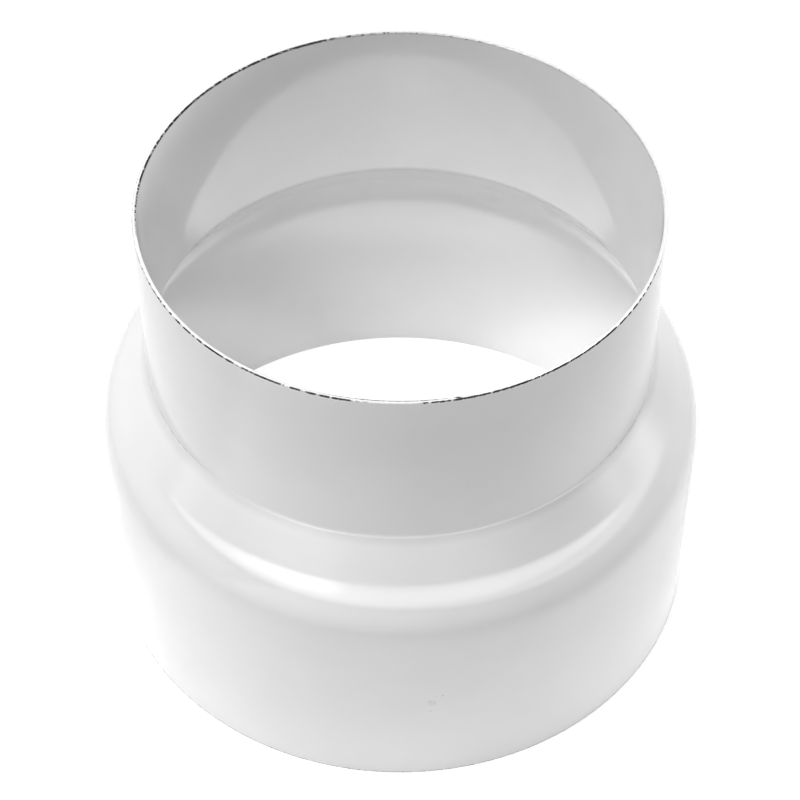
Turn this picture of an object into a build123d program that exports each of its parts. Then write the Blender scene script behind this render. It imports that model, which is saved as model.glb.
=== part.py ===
from build123d import *
import os
from math import acos, atan2, cos, degrees, hypot, radians, sin

# A round duct reducer: one seamless tube of enamelled steel sheet, narrowed over a rounded shoulder.
# It stands on the rim of its large spigot. The origin is the centre of that rim and +Z runs along the duct.
# All sizes are in millimetres, angles in degrees.

# The two spigots slide into round duct of 150 mm and 125 mm nominal bore
large_spigot_diameter = 148.8
small_spigot_diameter = 124.2
large_spigot_length = 51.2
small_spigot_length = 44.7

# The sheet with its coat, and the deburred inner edge of both cut rims
wall = 1.0
rim_chamfer = 0.25

# The shoulder, from below: a round bend, a gentle swell, a straight slope and a tight hollow bend at the neck
shoulder_bend_radius = 26.0
swell_radius = 46.0
swell_turn = 7.5
slope_length = 11.0
neck_bend_radius = 2.0

# How far the sheet leans in over the slope: bends, swell and slope together make up the step in radius,
# which is an equation of the form across * cos(lean) + along * sin(lean) = rest
radius_step = (large_spigot_diameter - small_spigot_diameter) / 2
swell = swell_radius - shoulder_bend_radius
across = swell * cos(radians(swell_turn)) - swell_radius - neck_bend_radius
along = swell * sin(radians(swell_turn)) + slope_length
rest = radius_step - shoulder_bend_radius - neck_bend_radius
lean = degrees(atan2(along, across) - acos(rest / hypot(across, along)))


def wall_section():
    """The cut wall on one side of the axis: the outer line of the sheet, thickened inwards."""
    with BuildSketch(Plane.XZ) as section:
        with BuildLine():
            large_side = Line((large_spigot_diameter / 2, 0), (large_spigot_diameter / 2, large_spigot_length))
            shoulder = JernArc(large_side @ 1, large_side % 1, shoulder_bend_radius, lean - swell_turn)
            upper = JernArc(shoulder @ 1, shoulder % 1, swell_radius, swell_turn)
            slope = Line(upper @ 1, upper @ 1 + slope_length * (upper % 1))
            neck = JernArc(slope @ 1, slope % 1, neck_bend_radius, -lean)
            Line(neck @ 1, neck @ 1 + small_spigot_length * (neck % 1))
            offset(amount=wall, side=Side.LEFT)
        make_face()
        rims = section.vertices().group_by(Axis.Y)
        chamfer([rims[end].sort_by(Axis.X)[0] for end in (0, -1)], rim_chamfer)
    return section.sketch


def reducer_body():
    with BuildPart() as body:
        add(wall_section())
        revolve(axis=Axis.Z)
    return body.part


os.makedirs("parts", exist_ok=True)
body = reducer_body()
export_step(body, "parts/reducer_body.step")
print(f"lean {lean:.2f} degrees, overall height {body.bounding_box().size.Z:.2f}")
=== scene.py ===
import math
import bmesh
import bpy
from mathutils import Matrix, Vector, noise


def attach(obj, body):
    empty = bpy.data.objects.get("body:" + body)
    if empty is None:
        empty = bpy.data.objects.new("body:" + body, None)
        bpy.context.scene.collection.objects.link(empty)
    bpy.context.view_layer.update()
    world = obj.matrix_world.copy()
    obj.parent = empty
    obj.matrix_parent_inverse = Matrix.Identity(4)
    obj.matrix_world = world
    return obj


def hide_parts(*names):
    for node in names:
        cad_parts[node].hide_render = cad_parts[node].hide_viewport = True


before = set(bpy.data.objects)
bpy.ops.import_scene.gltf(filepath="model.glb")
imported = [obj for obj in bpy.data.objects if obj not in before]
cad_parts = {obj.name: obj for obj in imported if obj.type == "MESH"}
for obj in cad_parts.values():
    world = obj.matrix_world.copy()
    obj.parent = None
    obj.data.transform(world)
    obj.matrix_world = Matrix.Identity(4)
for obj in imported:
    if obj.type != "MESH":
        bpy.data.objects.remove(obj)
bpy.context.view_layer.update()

MM = 0.001

# The reducer's sizes, as in its solid
LARGE_RADIUS = 74.4 * MM
SMALL_RADIUS = 62.1 * MM
LARGE_LENGTH = 51.2 * MM
SMALL_LENGTH = 44.7 * MM
WALL = 1.0 * MM
SHOULDER_BEND = 26.0 * MM
SWELL_BEND = 46.0 * MM
SWELL_TURN = math.radians(7.5)
SLOPE = 11.0 * MM
NECK_BEND = 2.0 * MM
# How many times the section is repeated over the full turn
AROUND = 896
# Vertices closer than this are one, edges sharper than this stay sharp
MERGE_GAP = 0.002 * MM
SHARP_EDGE = math.radians(40)

# The enamel rounds the cut rims: hardly at the outer edge, more at the deburred inner edge
OUTER_EDGE = 0.16 * MM
INNER_EDGE = 0.3 * MM
# The bands beside each rim edge where the enamel can be chipped off, on the wall and on the rim's face
CHIP_BAND = 0.34 * MM
CHIP_FACE = 0.15 * MM
# A plain ring beyond each chip band, so that the chips don't disturb the gloss of the long walls
GUARD = 0.5 * MM
# How deep the chips are, how closely they follow each other, and how much they vary at each edge
CHIP_DEPTH = 0.09 * MM
CHIP_RATE = 52
OUTER_UNEVEN = 1.4
INNER_UNEVEN = 0.4
# An edge is cut away only where it is barer than this
CUT_START = 0.5
# The noise that breaks up the edges: its roughness, the step from one layer to the next, and the number of layers
CHIP_NOISE = (0.9, 2.0, 3)
# Allowance for picking out the vertices of an edge
HAIR = 0.01 * MM

# How bare each rim edge is, by bearing in degrees: 0 is the side that faces the camera, positive is to its right
TOP_OUTER_BARE = ((-180, 0.1), (-110, 0.12), (-80, 0.2), (-68, 0.35), (-60, 0.55), (-40, 0.62), (-28, 0.8),
                  (-12, 0.95), (-6, 0.1), (3, 0.1), (6, 0.6), (14, 1.0), (40, 1.05), (55, 0.8), (66, 0.5),
                  (76, 0.1), (180, 0.1))
# On the far side of the inner top edge the grey line is partly wear and partly a painted shade line; the chips are
# real wear
TOP_INNER_BARE_AND_SHADE = ((-180, 0.36), (-158, 0.62), (-100, 0.64), (-88, 0.5), (-76, 0.0), (-20, 0.0), (-5, 0.6),
                  (8, 0.6), (11, 0.0), (80, 0.0), (95, 0.2), (120, 0.26), (150, 0.22), (165, 0.28), (180, 0.36))
# The bottom edge's grey line is partly wear and partly a painted contact shadow where the rim meets the floor
BOTTOM_OUTER_BARE_AND_SHADE = ((-180, 0.35), (-60, 0.4), (-10, 0.5), (40, 0.65), (90, 0.4), (180, 0.35))
# Each edge starts at its own place in the noise that breaks it up
TOP_OUTER_START, TOP_INNER_START, BOTTOM_OUTER_START = 0, 5, 9
# One nick runs aslant across the top rim: its bearing at the inner and the outer edge, its width, depth and bareness
NICK_INNER = 11.2
NICK_OUTER = 12.5
NICK_WIDTH = 0.8
NICK_DEPTH = 0.14 * MM
NICK_BARE = 1.2

# The grains of the enamel and, last, of the outline of its chips, as scale per metre and detail
CLOUD_GRAIN = (24, 3)
SMEAR_GRAIN = (900, 3)
GLOSS_GRAIN = (70, 2)
PEEL_GRAIN = (330, 1)
WAVE_GRAIN = (48, 1)
RAGGED_GRAIN = (2000, 3)
# The enamel's tones, its shine, its roughness by the gloss grain, and how the clouds and smears are spread
ENAMEL_TONES = (0.865, 0.905)
ENAMEL_SHINE = 1.0
ENAMEL_ROUGH = ((0.3, 0.065), (0.7, 0.095))
CLOUD_SPREAD = ((0.35, 0.0), (0.65, 1.0))
SMEAR_SPREAD = ((0.35, 0.3), (0.65, 1.0))
# The surface is hardly uneven: its depth, and the share of the peel beside the waves
BUMP_DEPTH = 0.03 * MM
PEEL_SHARE = 0.16
# Where an edge is a little bare the enamel is thin and grey, which also serves as a painted shade line, and where it
# is barer the dark metal shows
THIN_COAT_AND_SHADE = ((0.06, 0.0), (0.28, 0.66))
THIN_COAT_AND_SHADE_GREY = 0.4
CHIP_START = ((0.45, 0.0), (0.55, 1.0))
RAGGED_SPREAD = 1.5
METAL_TONES = (0.008, 0.035)
METAL_ROUGH = 0.5

# The hollow bend at the neck, where shade is painted
CREASE_RADIUS = 62.35 * MM
CREASE_HEIGHT = 78.1 * MM
# A painted shade line in the bend, by distance from it, at the two sides of the object
CREASE_SHADE_LINE = ((0.25 * MM, 0.55), (0.8 * MM, 0.0))
CREASE_SHADE_SIDES = ((40 * MM, 0.0), (52 * MM, 1.0))
# A thin painted shade all round, by distance from the bend, on the slope only
CREASE_SHADE_FILM = ((0.5 * MM, 0.24), (4.8 * MM, 0.0))
CREASE_SHADE_SLOPE = ((SMALL_RADIUS + 0.02 * MM, 0.0), (SMALL_RADIUS + 0.2 * MM, 1.0))
CREASE_SHADE_GREY = 0.3
# Marks on the large spigot, as place, radius and strength: a grey smudge with two specks beside it
SMUDGE = ((7.6 * MM, -74.0 * MM, 29.0 * MM), 1.5 * MM, 0.3)
SPECKS = (((10.2 * MM, -73.7 * MM, 31.5 * MM), 0.35 * MM, 0.6), ((7.3 * MM, -74.0 * MM, 25.7 * MM), 0.4 * MM, 0.6))
SMUDGE_GREY = 0.3
SPECK_GREY = 0.25
# The full strength of a mark reaches out to this share of its radius
MARK_CORE = 0.3

# The light tent for soft light: brightness by bearing (0 is the camera's side, positive to its right) and by height
TENT_SOFT = 15.0
TENT_BEARING = ((-180, 0.14), (-140, 0.12), (-100, 0.15), (-80, 0.06), (-65, 0.0), (62, 0.0), (80, 0.24),
                (100, 0.64), (120, 0.7), (140, 0.35), (160, 0.18), (180, 0.14))
TENT_HEIGHT = ((0.0, 1.0), (0.06, 0.9), (0.1, 0.5), (0.16, 0.25), (0.24, 0.12), (0.4, 0.04), (0.5, 0.0))
# The white panel that stands in front, seen only in the gloss: brightness by bearing and by height over distance
PANEL_GLOSS = 5.6
PANEL_BEARING = ((-95, 0.34), (-90, 0.4), (-80, 0.54), (-70, 0.63), (-51, 0.82), (-33, 0.88), (-16, 0.86),
                 (0, 0.84), (17, 0.91), (34, 0.91), (45, 0.88), (60, 0.84), (75, 0.92), (90, 0.79))
PANEL_HEIGHT = ((0.0, 0.7), (0.03, 0.85), (0.07, 1.0), (0.13, 1.0), (0.19, 0.96), (0.235, 0.86), (0.258, 0.73),
                (0.272, 0.59), (0.29, 0.4), (0.32, 0.16), (0.6, 0.08))
# A brighter streak in the panel, on the left
STREAK_GLOSS = 3.2
STREAK_BEARING = ((-62, 0.0), (-48, 0.5), (-37, 1.0), (-26, 0.75), (-17, 0.0))
STREAK_HEIGHT = ((0.06, 0.0), (0.14, 0.6), (0.19, 1.0), (0.24, 0.8), (0.272, 0.25), (0.295, 0.0))
# The least distance to the panel, so that a look sideways doesn't divide by nothing
LEAST_DISTANCE = 0.01
# A white card on the left, in the gloss: brightness by bearing and by height
CARD_GLOSS = 1.4
CARD_BEARING = ((-105, 0.0), (-95, 1.0), (-66, 1.0), (-56, 0.35), (-45, 0.0))
CARD_HEIGHT = ((0.0, 1.0), (0.14, 1.0), (0.17, 0.0))
# The room behind and the soft light overhead, in the gloss, by height
ROOM_GLOSS = 2.2
ROOM_HEIGHT = ((0.0, 0.16), (0.5, 0.16), (0.62, 1.0), (0.85, 1.0), (0.95, 0.16))

# The floor is a light table, with half its width, its own grey, and the grey and the glow that the camera sees
FLOOR_HALF = 4
TABLE_GREY = 0.5
TABLE_ROUGH = 0.7
SHADOW_GREY = 0.25
SHOWN_GLOW = 0.88
# The table's glow by distance from the object's axis in metres, for soft light and for gloss, out to its reach
TABLE_REACH = 0.4
TABLE_SOFT = ((0.0, 0.0), (0.0735, 0.0), (0.074, 0.5), (0.09, 0.7), (0.11, 0.85), (0.135, 0.82), (0.17, 0.0))
TABLE_GLOSS = 2.6
TABLE_SHINE = ((0.0, 0.0), (0.0735, 0.0), (0.074, 0.5), (0.09, 0.52), (0.1, 0.58), (0.112, 0.63), (0.137, 0.63),
               (0.16, 0.58), (0.18, 0.71), (0.2, 0.81), (0.25, 0.92), (0.3, 0.96), (0.4, 1.0))
# The glow is strongest in front: the way there, and its strength by how near a place lies to that way
FRONT_WAY = (-0.342, -0.94, 0.0)
TABLE_FADE = ((-1.0, 0.45), (-0.64, 0.5), (-0.3, 0.62), (0.0, 0.74), (0.42, 0.86), (0.74, 0.94), (1.0, 1.0))
# In the gloss the table is darker beside the object on the left, towards the back, by distance that way
LEFT_WAY = (-0.78, 0.62, 0.0)
TABLE_LEFT = ((0.045, 1.0), (0.072, 0.75))
# Far out on the right the table is bright in the gloss, by distance to that side
RIGHT_WAY = (1.0, 0.0, 0.0)
TABLE_RIGHT = ((0.33, 0.0), (0.75, 1.7))
# Inside the large rim the table is lit through the opening, so its soft glow grows towards the back right
INSIDE_WAY = (0.75, 0.66, 0.0)
INSIDE_SOFT = ((-0.03, 0.0), (0.05, 0.9))
# That glow fades towards the wall's foot, by distance from the axis
INSIDE_EDGE = ((0.05, 1.0), (0.0734, 0.5))
# In the gloss the inside of the table is darker on the left, by distance to the right
INSIDE_GLOSS = 1.3
INSIDE_LEFT = ((-0.08, 0.5), (0.0, 1.0))
# The foot of the far wall shades the table there, in the gloss, by distance from a place
FOOT_PLACE = (0.0, 0.062, 0.0)
FOOT_SHADE = ((0.016, 0.15), (0.034, 1.0))

# The lamps stand at one distance and aim at one height. Each has its bearing, rise, width, height and watts
LAMP_DISTANCE = 1.3
LAMP_AIM = 60 * MM
LAMPS = (
    ("key_left_front", -49, 64, 0.6, 0.38, 7.5),
    ("key_left", -90, 64, 0.6, 0.38, 4.5),
    ("top_front", 0, 68, 0.5, 0.4, 0.6),
    ("top_left", -90, 78, 0.5, 0.46, 0.9),
    ("top_back", 150, 60, 0.5, 0.46, 3.5),
)

# The camera, found from the outlines of the rims: its rise, its distance from the point it aims at, and its lens
CAMERA_RISE = math.radians(48.02)
CAMERA_DISTANCE = 662.4 * MM
CAMERA_AIM = 55.15 * MM
CAMERA_LENS = 118.87
CAMERA_SENSOR = 36


def slope_lean():
    """How far the sheet leans in over the slope, so that the bends and the slope make up the step in radius."""
    swell = SWELL_BEND - SHOULDER_BEND
    across = swell * math.cos(SWELL_TURN) - SWELL_BEND - NECK_BEND
    along = swell * math.sin(SWELL_TURN) + SLOPE
    step = LARGE_RADIUS - SMALL_RADIUS - SHOULDER_BEND - NECK_BEND
    return math.atan2(along, across) - math.acos(step / math.hypot(across, along))


class SectionPen:
    """Draws the cut wall point by point in the XZ plane. The heading turns from +Z towards the axis."""

    def __init__(self, bm, x, z):
        self.bm = bm
        self.heading = 0.0
        self.tip = bm.verts.new((x, 0, z))

    def run(self, length):
        step = Vector((-math.sin(self.heading), 0, math.cos(self.heading))) * length
        self.tip = bmesh.ops.extrude_vert_indiv(self.bm, verts=[self.tip])["verts"][0]
        bmesh.ops.translate(self.bm, verts=[self.tip], vec=step)

    def turn(self, radius, angle, steps):
        inward = Vector((-math.cos(self.heading), 0, -math.sin(self.heading)))
        centre = self.tip.co + inward * math.copysign(radius, angle)
        bent = bmesh.ops.spin(self.bm, geom=[self.tip], cent=centre, axis=(0, -1, 0), angle=angle, steps=steps)
        self.tip = bent["geom_last"][0]
        self.heading += angle


def draw_wall(bm):
    """The section: up the outside, over the top rim, down the inside and under the bottom rim."""
    lean = slope_lean()
    quarter = math.pi / 2
    rim_flat = WALL - OUTER_EDGE - INNER_EDGE - 2 * CHIP_FACE
    pen = SectionPen(bm, LARGE_RADIUS, OUTER_EDGE)
    pen.run(CHIP_BAND)
    pen.run(GUARD)
    pen.run(LARGE_LENGTH - OUTER_EDGE - CHIP_BAND - GUARD)
    pen.turn(SHOULDER_BEND, lean - SWELL_TURN, steps=12)
    pen.turn(SWELL_BEND, SWELL_TURN, steps=7)
    pen.run(SLOPE)
    pen.turn(NECK_BEND, -lean, steps=10)
    pen.run(SMALL_LENGTH - OUTER_EDGE - CHIP_BAND - GUARD)
    pen.run(GUARD)
    pen.run(CHIP_BAND)
    pen.turn(OUTER_EDGE, quarter, steps=4)
    pen.run(CHIP_FACE)
    pen.run(rim_flat)
    pen.run(CHIP_FACE)
    pen.turn(INNER_EDGE, quarter, steps=5)
    pen.run(CHIP_BAND)
    pen.run(GUARD)
    pen.run(SMALL_LENGTH - INNER_EDGE - CHIP_BAND - GUARD)
    pen.turn(NECK_BEND + WALL, lean, steps=10)
    pen.run(SLOPE)
    pen.turn(SWELL_BEND - WALL, -SWELL_TURN, steps=6)
    pen.turn(SHOULDER_BEND - WALL, SWELL_TURN - lean, steps=10)
    pen.run(LARGE_LENGTH - INNER_EDGE)
    pen.turn(INNER_EDGE, quarter, steps=4)
    pen.run(rim_flat + CHIP_FACE)
    pen.run(CHIP_FACE)
    pen.turn(OUTER_EDGE, quarter, steps=4)


def bearing_of(point):
    """Where a point stands round the axis, in degrees: 0 faces the camera, positive is to its right."""
    return math.degrees(math.atan2(point.x, -point.y))


def stop_value(stops, place):
    """The value at a place, on straight lines between the stops."""
    for (start, low), (end, high) in zip(stops, stops[1:]):
        if start <= place <= end:
            return low + (high - low) * (place - start) / (end - start)
    return 0.0


def bareness_and_shade(point, stops, uneven, noise_start):
    """How bare an edge is at a point, including its painted shade line: by its stretch of the rim, broken up along
    it.
    """
    around = Vector((point.x, point.y, 0)).normalized() * CHIP_RATE
    broken = noise.fractal(around + Vector((0, 0, noise_start)), *CHIP_NOISE)
    return max(0.0, stop_value(stops, bearing_of(point)) * (1 + uneven * broken))


def chip_rims(bm):
    """Breaks the enamel away along the rim edges, and keeps on each vertex how bare the metal is there, with the
    painted shade lines of the edges added in.
    """
    bare_and_shade = bm.verts.layers.float.new("bare_and_shaded_edge")
    top = max(vert.co.z for vert in bm.verts)
    for vert in bm.verts:
        reach = vert.co.xy.length
        inward = Vector((-vert.co.x / reach, -vert.co.y / reach, 0))
        below_top = top - vert.co.z
        if below_top < OUTER_EDGE + HAIR and reach > SMALL_RADIUS - OUTER_EDGE - HAIR:
            vert[bare_and_shade] = bareness_and_shade(vert.co, TOP_OUTER_BARE, OUTER_UNEVEN, TOP_OUTER_START)
            away = inward - Vector((0, 0, 1))
        elif below_top < INNER_EDGE + HAIR and reach < SMALL_RADIUS - WALL + INNER_EDGE + HAIR:
            vert[bare_and_shade] = bareness_and_shade(vert.co, TOP_INNER_BARE_AND_SHADE, INNER_UNEVEN, TOP_INNER_START)
            away = -inward - Vector((0, 0, 1))
        elif vert.co.z < OUTER_EDGE + HAIR and reach > LARGE_RADIUS - OUTER_EDGE - HAIR:
            vert[bare_and_shade] = bareness_and_shade(vert.co, BOTTOM_OUTER_BARE_AND_SHADE, OUTER_UNEVEN, BOTTOM_OUTER_START)
            away = inward + Vector((0, 0, 1))
        else:
            continue
        cut = (vert[bare_and_shade] - CUT_START) / (1 - CUT_START)
        vert.co += away.normalized() * CHIP_DEPTH * min(1.0, max(0.0, cut))
    for vert in bm.verts:
        across = (vert.co.xy.length - SMALL_RADIUS + WALL) / WALL
        aslant = NICK_INNER + (NICK_OUTER - NICK_INNER) * across
        if top - vert.co.z < INNER_EDGE + HAIR and abs(bearing_of(vert.co) - aslant) < NICK_WIDTH / 2:
            vert[bare_and_shade] = NICK_BARE
            vert.co.z -= NICK_DEPTH


def finish_mesh(bm, name):
    """Merges doubles, turns the normals outwards and puts the mesh into the scene."""
    bmesh.ops.remove_doubles(bm, verts=bm.verts, dist=MERGE_GAP)
    bmesh.ops.recalc_face_normals(bm, faces=bm.faces)
    for face in bm.faces:
        face.smooth = True
    mesh = bpy.data.meshes.new(name)
    bm.to_mesh(mesh)
    bm.free()
    mesh.set_sharp_from_angle(angle=SHARP_EDGE)
    piece = bpy.data.objects.new(name, mesh)
    bpy.context.scene.collection.objects.link(piece)
    return piece


def build_shell():
    """The whole reducer: its section spun round the axis, with the rims chipped."""
    bm = bmesh.new()
    draw_wall(bm)
    bmesh.ops.remove_doubles(bm, verts=bm.verts, dist=MERGE_GAP)
    bmesh.ops.spin(bm, geom=bm.verts[:] + bm.edges[:], cent=(0, 0, 0), axis=(0, 0, 1),
                   angle=2 * math.pi, steps=AROUND, use_merge=True)
    bmesh.ops.remove_doubles(bm, verts=bm.verts, dist=MERGE_GAP)
    chip_rims(bm)
    return finish_mesh(bm, "reducer_shell")


def grey(value):
    """A number as a grey colour. A node's output is left as it is."""
    return value if isinstance(value, bpy.types.NodeSocket) else (value, value, value, 1)


class Wiring:
    """Adds nodes to one node tree and links them."""

    def __init__(self, tree):
        self.nodes, self.links = tree.nodes, tree.links

    def feed(self, socket, value):
        """Links a node's output to a socket, or sets a plain value on it."""
        if isinstance(value, bpy.types.NodeSocket):
            self.links.new(value, socket)
        else:
            socket.default_value = value

    def calc(self, operation, *values):
        node = self.nodes.new("ShaderNodeMath")
        node.operation = operation
        for socket, value in zip(node.inputs, values):
            self.feed(socket, value)
        return node.outputs["Value"]

    def times(self, first, *others):
        for value in others:
            first = self.calc("MULTIPLY", first, value)
        return first

    def measure(self, operation, *places):
        """A length, a distance or a dot product of places."""
        node = self.nodes.new("ShaderNodeVectorMath")
        node.operation = operation
        for socket, place in zip(node.inputs, places):
            self.feed(socket, place)
        return node.outputs["Value"]

    def split(self, place):
        node = self.nodes.new("ShaderNodeSeparateXYZ")
        self.feed(node.inputs["Vector"], place)
        return [node.outputs[axis] for axis in "XYZ"]

    def ease(self, driver, start, end):
        """Eases from one value to another between two places of the driver."""
        node = self.nodes.new("ShaderNodeMapRange")
        node.interpolation_type = "SMOOTHSTEP"
        for side, (place, value) in (("Min", start), ("Max", end)):
            node.inputs["From " + side].default_value = place
            node.inputs["To " + side].default_value = value
        self.feed(node.inputs["Value"], driver)
        return node.outputs["Result"]

    def ramp(self, driver, stops):
        """Straight lines between stops, which are pairs of place and value from 0 to 1."""
        node = self.nodes.new("ShaderNodeValToRGB")
        marks = node.color_ramp.elements
        while len(marks) < len(stops):
            marks.new(0.5)
        for mark, (place, value) in zip(marks, stops):
            mark.position = place
            mark.color = grey(value)
        self.feed(node.inputs["Fac"], driver)
        return node.outputs["Color"]

    def grain(self, place, scale, detail):
        node = self.nodes.new("ShaderNodeTexNoise")
        node.inputs["Scale"].default_value = scale
        node.inputs["Detail"].default_value = detail
        self.feed(node.inputs["Vector"], place)
        return node.outputs["Fac"]

    def blend(self, factor, first, second):
        """Goes from one number to another. The sockets of a Mix node are numbered by data type."""
        node = self.nodes.new("ShaderNodeMix")
        node.data_type = "FLOAT"
        for slot, value in ((0, factor), (2, first), (3, second)):
            self.feed(node.inputs[slot], value)
        return node.outputs[0]

    def tint(self, under, mask, over):
        """Lays one colour over another where the mask says so."""
        node = self.nodes.new("ShaderNodeMix")
        node.data_type = "RGBA"
        for slot, value in ((0, mask), (6, grey(under)), (7, grey(over))):
            self.feed(node.inputs[slot], value)
        return node.outputs[2]


def round_mark(wiring, place, smear, spot, radius, strength):
    """A soft round mark at a spot, broken up by the smears."""
    gap = wiring.measure("DISTANCE", place, spot)
    return wiring.times(wiring.ease(gap, (MARK_CORE * radius, strength), (radius, 0.0)), smear)


def neck_painted_shade(wiring, place, smear):
    """Painted shade in the hollow bend at the neck: a dark line at the two sides, and a thin darkening on the slope
    below it.
    """
    x, y, z = wiring.split(place)
    reach = wiring.calc("SQRT", wiring.calc("ADD", wiring.times(x, x), wiring.times(y, y)))
    out = wiring.calc("ABSOLUTE", wiring.calc("SUBTRACT", reach, CREASE_RADIUS))
    up = wiring.calc("ABSOLUTE", wiring.calc("SUBTRACT", z, CREASE_HEIGHT))
    gap = wiring.calc("ADD", out, up)
    sides = wiring.ease(wiring.calc("ABSOLUTE", x), *CREASE_SHADE_SIDES)
    line = wiring.times(wiring.ease(gap, *CREASE_SHADE_LINE), sides, smear)
    film = wiring.times(wiring.ease(gap, *CREASE_SHADE_FILM), wiring.ease(reach, *CREASE_SHADE_SLOPE))
    return wiring.calc("MAXIMUM", line, film)


def enamel_material():
    """White enamel: a slightly uneven gloss and tone, a few marks, painted shade in the neck bend and along some rim
    edges, and dark bare metal where the rims are chipped.
    """
    material = bpy.data.materials.new("white_enamel")
    material.use_nodes = True
    wiring = Wiring(material.node_tree)
    place = wiring.nodes.new("ShaderNodeTexCoord").outputs["Object"]
    smear = wiring.ease(wiring.grain(place, *SMEAR_GRAIN), *SMEAR_SPREAD)

    darker, lighter = ENAMEL_TONES
    tone = wiring.tint(darker, wiring.ease(wiring.grain(place, *CLOUD_GRAIN), *CLOUD_SPREAD), lighter)
    # Painted shade in the neck bend, greying the enamel
    tone = wiring.tint(tone, neck_painted_shade(wiring, place, smear), CREASE_SHADE_GREY)
    tone = wiring.tint(tone, round_mark(wiring, place, smear, *SMUDGE), SMUDGE_GREY)
    for speck in SPECKS:
        tone = wiring.tint(tone, round_mark(wiring, place, smear, *speck), SPECK_GREY)

    edges = wiring.nodes.new("ShaderNodeAttribute")
    edges.attribute_name = "bare_and_shaded_edge"
    bare_and_shade = edges.outputs["Fac"]
    ragged = wiring.calc("MULTIPLY_ADD", wiring.grain(place, *RAGGED_GRAIN), RAGGED_SPREAD, -RAGGED_SPREAD / 2)
    chipped = wiring.ease(wiring.calc("ADD", bare_and_shade, ragged), *CHIP_START)
    blackest, greyest = METAL_TONES
    # A thin grey coat on the edges, partly wear and partly painted shade
    tone = wiring.tint(tone, wiring.ease(bare_and_shade, *THIN_COAT_AND_SHADE), THIN_COAT_AND_SHADE_GREY)
    tone = wiring.tint(tone, chipped, wiring.tint(blackest, smear, greyest))

    rough = wiring.blend(chipped, wiring.ease(wiring.grain(place, *GLOSS_GRAIN), *ENAMEL_ROUGH), METAL_ROUGH)
    peel, wave = wiring.grain(place, *PEEL_GRAIN), wiring.grain(place, *WAVE_GRAIN)
    bump = wiring.nodes.new("ShaderNodeBump")
    bump.inputs["Distance"].default_value = BUMP_DEPTH
    wiring.feed(bump.inputs["Height"], wiring.calc("MULTIPLY_ADD", peel, PEEL_SHARE, wave))

    shader = wiring.nodes["Principled BSDF"]
    shader.inputs["Specular IOR Level"].default_value = ENAMEL_SHINE
    wiring.feed(shader.inputs["Base Color"], tone)
    wiring.feed(shader.inputs["Metallic"], chipped)
    wiring.feed(shader.inputs["Roughness"], rough)
    wiring.feed(shader.inputs["Normal"], bump.outputs["Normal"])
    return material


def table_glow(wiring):
    """How bright the light table is at each place, for soft light and in the gloss."""
    place = wiring.nodes.new("ShaderNodeTexCoord").outputs["Object"]
    reach = wiring.measure("LENGTH", place)
    share = wiring.calc("DIVIDE", reach, TABLE_REACH)

    def by_reach(stops):
        return wiring.ramp(share, [(radius / TABLE_REACH, value) for radius, value in stops])

    def towards(way):
        return wiring.measure("DOT_PRODUCT", place, way)

    # A ramp takes places from 0 to 1, so nearness from -1 to 1 is halved and moved up
    ahead = wiring.calc("MULTIPLY_ADD", wiring.calc("DIVIDE", towards(FRONT_WAY), reach), 0.5, 0.5)
    fade = wiring.ramp(ahead, [(0.5 + 0.5 * near, value) for near, value in TABLE_FADE])
    inside = wiring.calc("LESS_THAN", reach, LARGE_RADIUS - WALL)
    patch = wiring.times(inside, wiring.ease(towards(INSIDE_WAY), *INSIDE_SOFT), wiring.ease(reach, *INSIDE_EDGE))
    soft = wiring.calc("ADD", wiring.times(by_reach(TABLE_SOFT), fade), patch)

    sideways = towards(RIGHT_WAY)
    foot = wiring.ease(wiring.measure("DISTANCE", place, FOOT_PLACE), *FOOT_SHADE)
    within = wiring.times(inside, INSIDE_GLOSS, foot, wiring.ease(sideways, *INSIDE_LEFT))
    shine = wiring.times(by_reach(TABLE_SHINE), TABLE_GLOSS, fade, wiring.ease(towards(LEFT_WAY), *TABLE_LEFT))
    shine = wiring.calc("ADD", shine, wiring.ease(sideways, *TABLE_RIGHT))
    return soft, wiring.calc("ADD", shine, within)


def pale_floor():
    """A matt light table that glows round the object. The camera sees it white, with the object's shadow left in."""
    bm = bmesh.new()
    bmesh.ops.create_grid(bm, x_segments=1, y_segments=1, size=FLOOR_HALF)
    floor = finish_mesh(bm, "pale_floor")
    material = bpy.data.materials.new("pale_floor")
    material.use_nodes = True
    wiring = Wiring(material.node_tree)
    path = wiring.nodes.new("ShaderNodeLightPath")
    soft, shine = table_glow(wiring)
    glow = wiring.blend(path.outputs["Is Glossy Ray"], soft, shine)
    top = wiring.nodes["Principled BSDF"]
    shown = wiring.nodes.new("ShaderNodeBsdfPrincipled")
    for shader, tone, strength in ((top, TABLE_GREY, glow), (shown, SHADOW_GREY, SHOWN_GLOW)):
        shader.inputs["Base Color"].default_value = grey(tone)
        shader.inputs["Roughness"].default_value = TABLE_ROUGH
        shader.inputs["Specular IOR Level"].default_value = 0.0
        shader.inputs["Emission Color"].default_value = grey(1.0)
        wiring.feed(shader.inputs["Emission Strength"], strength)
    mix = wiring.nodes.new("ShaderNodeMixShader")
    wiring.feed(mix.inputs["Fac"], path.outputs["Is Camera Ray"])
    wiring.feed(mix.inputs[1], top.outputs["BSDF"])
    wiring.feed(mix.inputs[2], shown.outputs["BSDF"])
    wiring.feed(wiring.nodes["Material Output"].inputs["Surface"], mix.outputs["Shader"])
    floor.data.materials.append(material)


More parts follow.
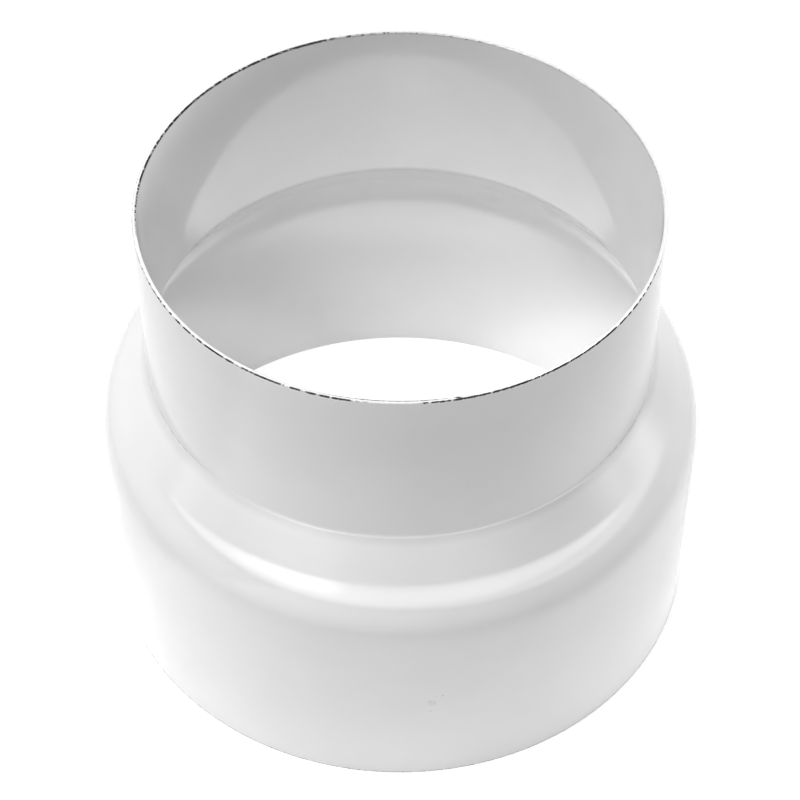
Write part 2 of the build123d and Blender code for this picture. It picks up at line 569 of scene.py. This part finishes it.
def studio_surround():
    """A low light tent for soft light. The gloss shows a panel, a card and a room instead, and the camera white."""
    world = bpy.data.worlds.new("light_tent")
    bpy.context.scene.world = world
    world.use_nodes = True
    wiring = Wiring(world.node_tree)
    x, y, z = wiring.split(wiring.nodes.new("ShaderNodeTexCoord").outputs["Generated"])
    front = wiring.times(y, -1.0)
    turn = wiring.calc("MULTIPLY_ADD", wiring.calc("ARCTAN2", x, front), 0.5 / math.pi, 0.5)
    rise = wiring.calc("DIVIDE", z, wiring.calc("MAXIMUM", front, LEAST_DISTANCE))

    def by_bearing(stops):
        """Brightness by bearing. The ramp's places from 0 to 1 are bearings from -180 to 180 degrees."""
        return wiring.ramp(turn, [(0.5 + degrees / 360, value) for degrees, value in stops])

    tent = wiring.times(by_bearing(TENT_BEARING), wiring.ramp(z, TENT_HEIGHT), TENT_SOFT)
    panel = wiring.times(by_bearing(PANEL_BEARING), wiring.ramp(rise, PANEL_HEIGHT), PANEL_GLOSS)
    streak = wiring.times(by_bearing(STREAK_BEARING), wiring.ramp(rise, STREAK_HEIGHT), STREAK_GLOSS)
    card = wiring.times(by_bearing(CARD_BEARING), wiring.ramp(z, CARD_HEIGHT), CARD_GLOSS)
    room = wiring.times(wiring.ramp(z, ROOM_HEIGHT), ROOM_GLOSS)
    gloss = wiring.calc("MAXIMUM", wiring.calc("ADD", panel, streak), card)
    gloss = wiring.calc("MAXIMUM", gloss, room)
    path = wiring.nodes.new("ShaderNodeLightPath")
    light = wiring.blend(path.outputs["Is Glossy Ray"], tent, gloss)
    light = wiring.blend(path.outputs["Is Camera Ray"], light, 1.0)
    background = wiring.nodes["Background"]
    background.inputs["Color"].default_value = grey(1.0)
    wiring.feed(background.inputs["Strength"], light)


def softbox(name, bearing, rise, width, height, watts):
    """A rectangular lamp aimed at the object. Bearing 0 is the camera's side, positive degrees are to its right."""
    lamp = bpy.data.lights.new(name, "AREA")
    lamp.shape = "RECTANGLE"
    lamp.size, lamp.size_y, lamp.energy = width, height, watts
    holder = bpy.data.objects.new(name, lamp)
    bearing, rise = math.radians(bearing), math.radians(rise)
    out = math.cos(rise)
    towards = Vector((math.sin(bearing) * out, -math.cos(bearing) * out, math.sin(rise)))
    holder.location = towards * LAMP_DISTANCE + Vector((0, 0, LAMP_AIM))
    holder.rotation_euler = towards.to_track_quat("Z", "Y").to_euler()
    holder.visible_camera = False
    bpy.context.scene.collection.objects.link(holder)


def set_camera():
    """The photo's view: from in front, looking down at the object."""
    data = bpy.data.cameras.new("photo_view")
    camera = bpy.data.objects.new("photo_view", data)
    out, up = CAMERA_DISTANCE * math.cos(CAMERA_RISE), CAMERA_DISTANCE * math.sin(CAMERA_RISE)
    camera.location = (0, -out, CAMERA_AIM + up)
    camera.rotation_euler = (math.pi / 2 - CAMERA_RISE, 0, 0)
    data.sensor_width = CAMERA_SENSOR
    data.lens = CAMERA_LENS
    bpy.context.scene.collection.objects.link(camera)
    bpy.context.scene.camera = camera


shell = build_shell()
shell.data.materials.append(enamel_material())
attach(shell, "root")
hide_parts("reducer_body")

pale_floor()
set_camera()
for lamp_setting in LAMPS:
    softbox(*lamp_setting)
studio_surround()
bpy.context.scene.view_settings.view_transform = "Standard"
